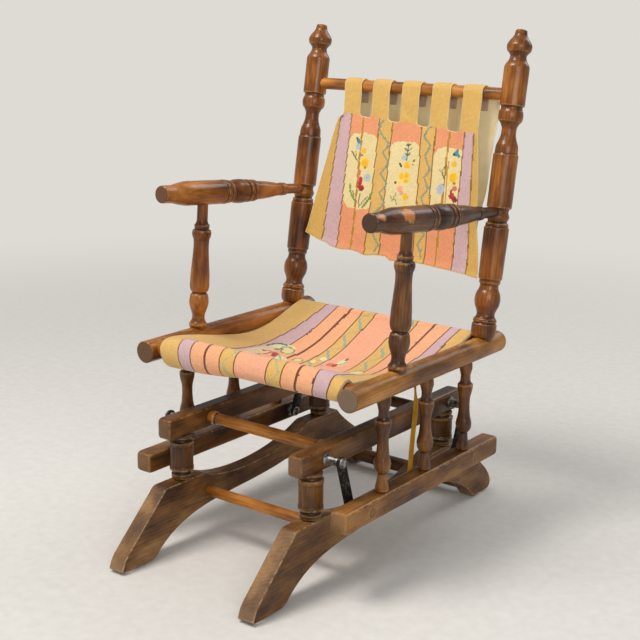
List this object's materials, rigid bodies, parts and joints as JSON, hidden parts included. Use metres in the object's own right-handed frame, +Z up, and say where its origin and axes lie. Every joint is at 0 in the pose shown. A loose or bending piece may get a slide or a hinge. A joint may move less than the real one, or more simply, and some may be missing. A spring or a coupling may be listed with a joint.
{
  "type": "platform rocker",
  "caption": "Child's turned wooden armchair that swings on iron links above a fixed sledge base, with a striped needlework sling seat and a hung back panel",
  "frame": {"origin": "on the floor, under the middle of the sledges", "axes": "+X is to the right as seen from the front, +Y runs from the front to the back, +Z is up"},
  "size_m": [0.393, 0.6, 0.7311],
  "materials": {
    "walnut": "stained and waxed turned wood, worn on the arrises",
    "iron": "dull dark iron",
    "needlework": "striped wool needlework",
    "lining": "plain beige lining",
    "tape": "woven cotton tape",
    "glide": "pale glide"
  },
  "bodies": {
    "base": {"sledge_left": "walnut", "glide_front_left": "glide", "glide_rear_left": "glide", "front_post_left": "walnut", "rear_post_left": "walnut", "upper_rail_left": "walnut", "hanger_pin_front_left": "iron", "hanger_pin_rear_left": "iron", "sledge_right": "walnut", "glide_front_right": "glide", "glide_rear_right": "glide", "front_post_right": "walnut", "rear_post_right": "walnut", "upper_rail_right": "walnut", "hanger_pin_front_right": "iron", "hanger_pin_rear_right": "iron", "front_upper_stretcher": "walnut", "rear_upper_stretcher": "walnut", "front_lower_stretcher": "walnut", "rear_lower_stretcher": "walnut"},
    "link_front_left": {"link_front_left": "iron"},
    "link_rear_left": {"link_rear_left": "iron"},
    "link_front_right": {"link_front_right": "iron"},
    "link_rear_right": {"link_rear_right": "iron"},
    "seat_frame": {"lower_rail_left": "walnut", "seat_rail_left": "walnut", "spindle_front_left": "walnut", "spindle_middle_left": "walnut", "spindle_rear_left": "walnut", "lower_pin_front_left": "iron", "plug_front_left": "walnut", "lower_pin_rear_left": "iron", "plug_rear_left": "walnut", "back_post_left": "walnut", "arm_left": "walnut", "arm_post_left": "walnut", "lower_rail_right": "walnut", "seat_rail_right": "walnut", "spindle_front_right": "walnut", "spindle_middle_right": "walnut", "spindle_rear_right": "walnut", "lower_pin_front_right": "iron", "plug_front_right": "walnut", "lower_pin_rear_right": "iron", "plug_rear_right": "walnut", "back_post_right": "walnut", "arm_right": "walnut", "arm_post_right": "walnut", "front_seat_rail": "walnut", "rear_seat_rail": "walnut", "top_back_rail": "walnut", "seat_cloth": "needlework", "back_cloth": "needlework", "back_lining": "lining", "tie_tape": "tape"}
  },
  "joints": [
    {"name": "front_left_link_swing", "type": "hinge", "parent": "base", "child": "link_front_left", "pos_m": [-0.15209, -0.1496, 0.18155], "axis": [1, 0, 0], "range_deg": [-15, 15]},
    {"name": "seat_on_front_left_link", "type": "hinge", "parent": "link_front_left", "child": "seat_frame", "pos_m": [-0.15209, -0.1281, 0.1145], "axis": [1, 0, 0], "range_deg": [-18, 18]},
    {"name": "front_right_link_swing", "type": "hinge", "parent": "base", "child": "link_front_right", "pos_m": [0.15209, -0.1496, 0.18155], "axis": [1, 0, 0], "range_deg": [-15, 15]},
    {"name": "rear_left_link_swing", "type": "hinge", "parent": "base", "child": "link_rear_left", "pos_m": [-0.15209, 0.1624, 0.18155], "axis": [1, 0, 0], "range_deg": [-15, 15]},
    {"name": "rear_right_link_swing", "type": "hinge", "parent": "base", "child": "link_rear_right", "pos_m": [0.15209, 0.1624, 0.18155], "axis": [1, 0, 0], "range_deg": [-15, 15]}
  ],
  "couplings": [
    {"joint": "seat_on_front_left_link", "follows": "front_left_link_swing", "ratio": -1.1575},
    {"joint": "front_right_link_swing", "follows": "front_left_link_swing", "ratio": 1},
    {"joint": "rear_left_link_swing", "follows": "front_left_link_swing", "ratio": 1},
    {"joint": "rear_right_link_swing", "follows": "front_left_link_swing", "ratio": 1}
  ]
}
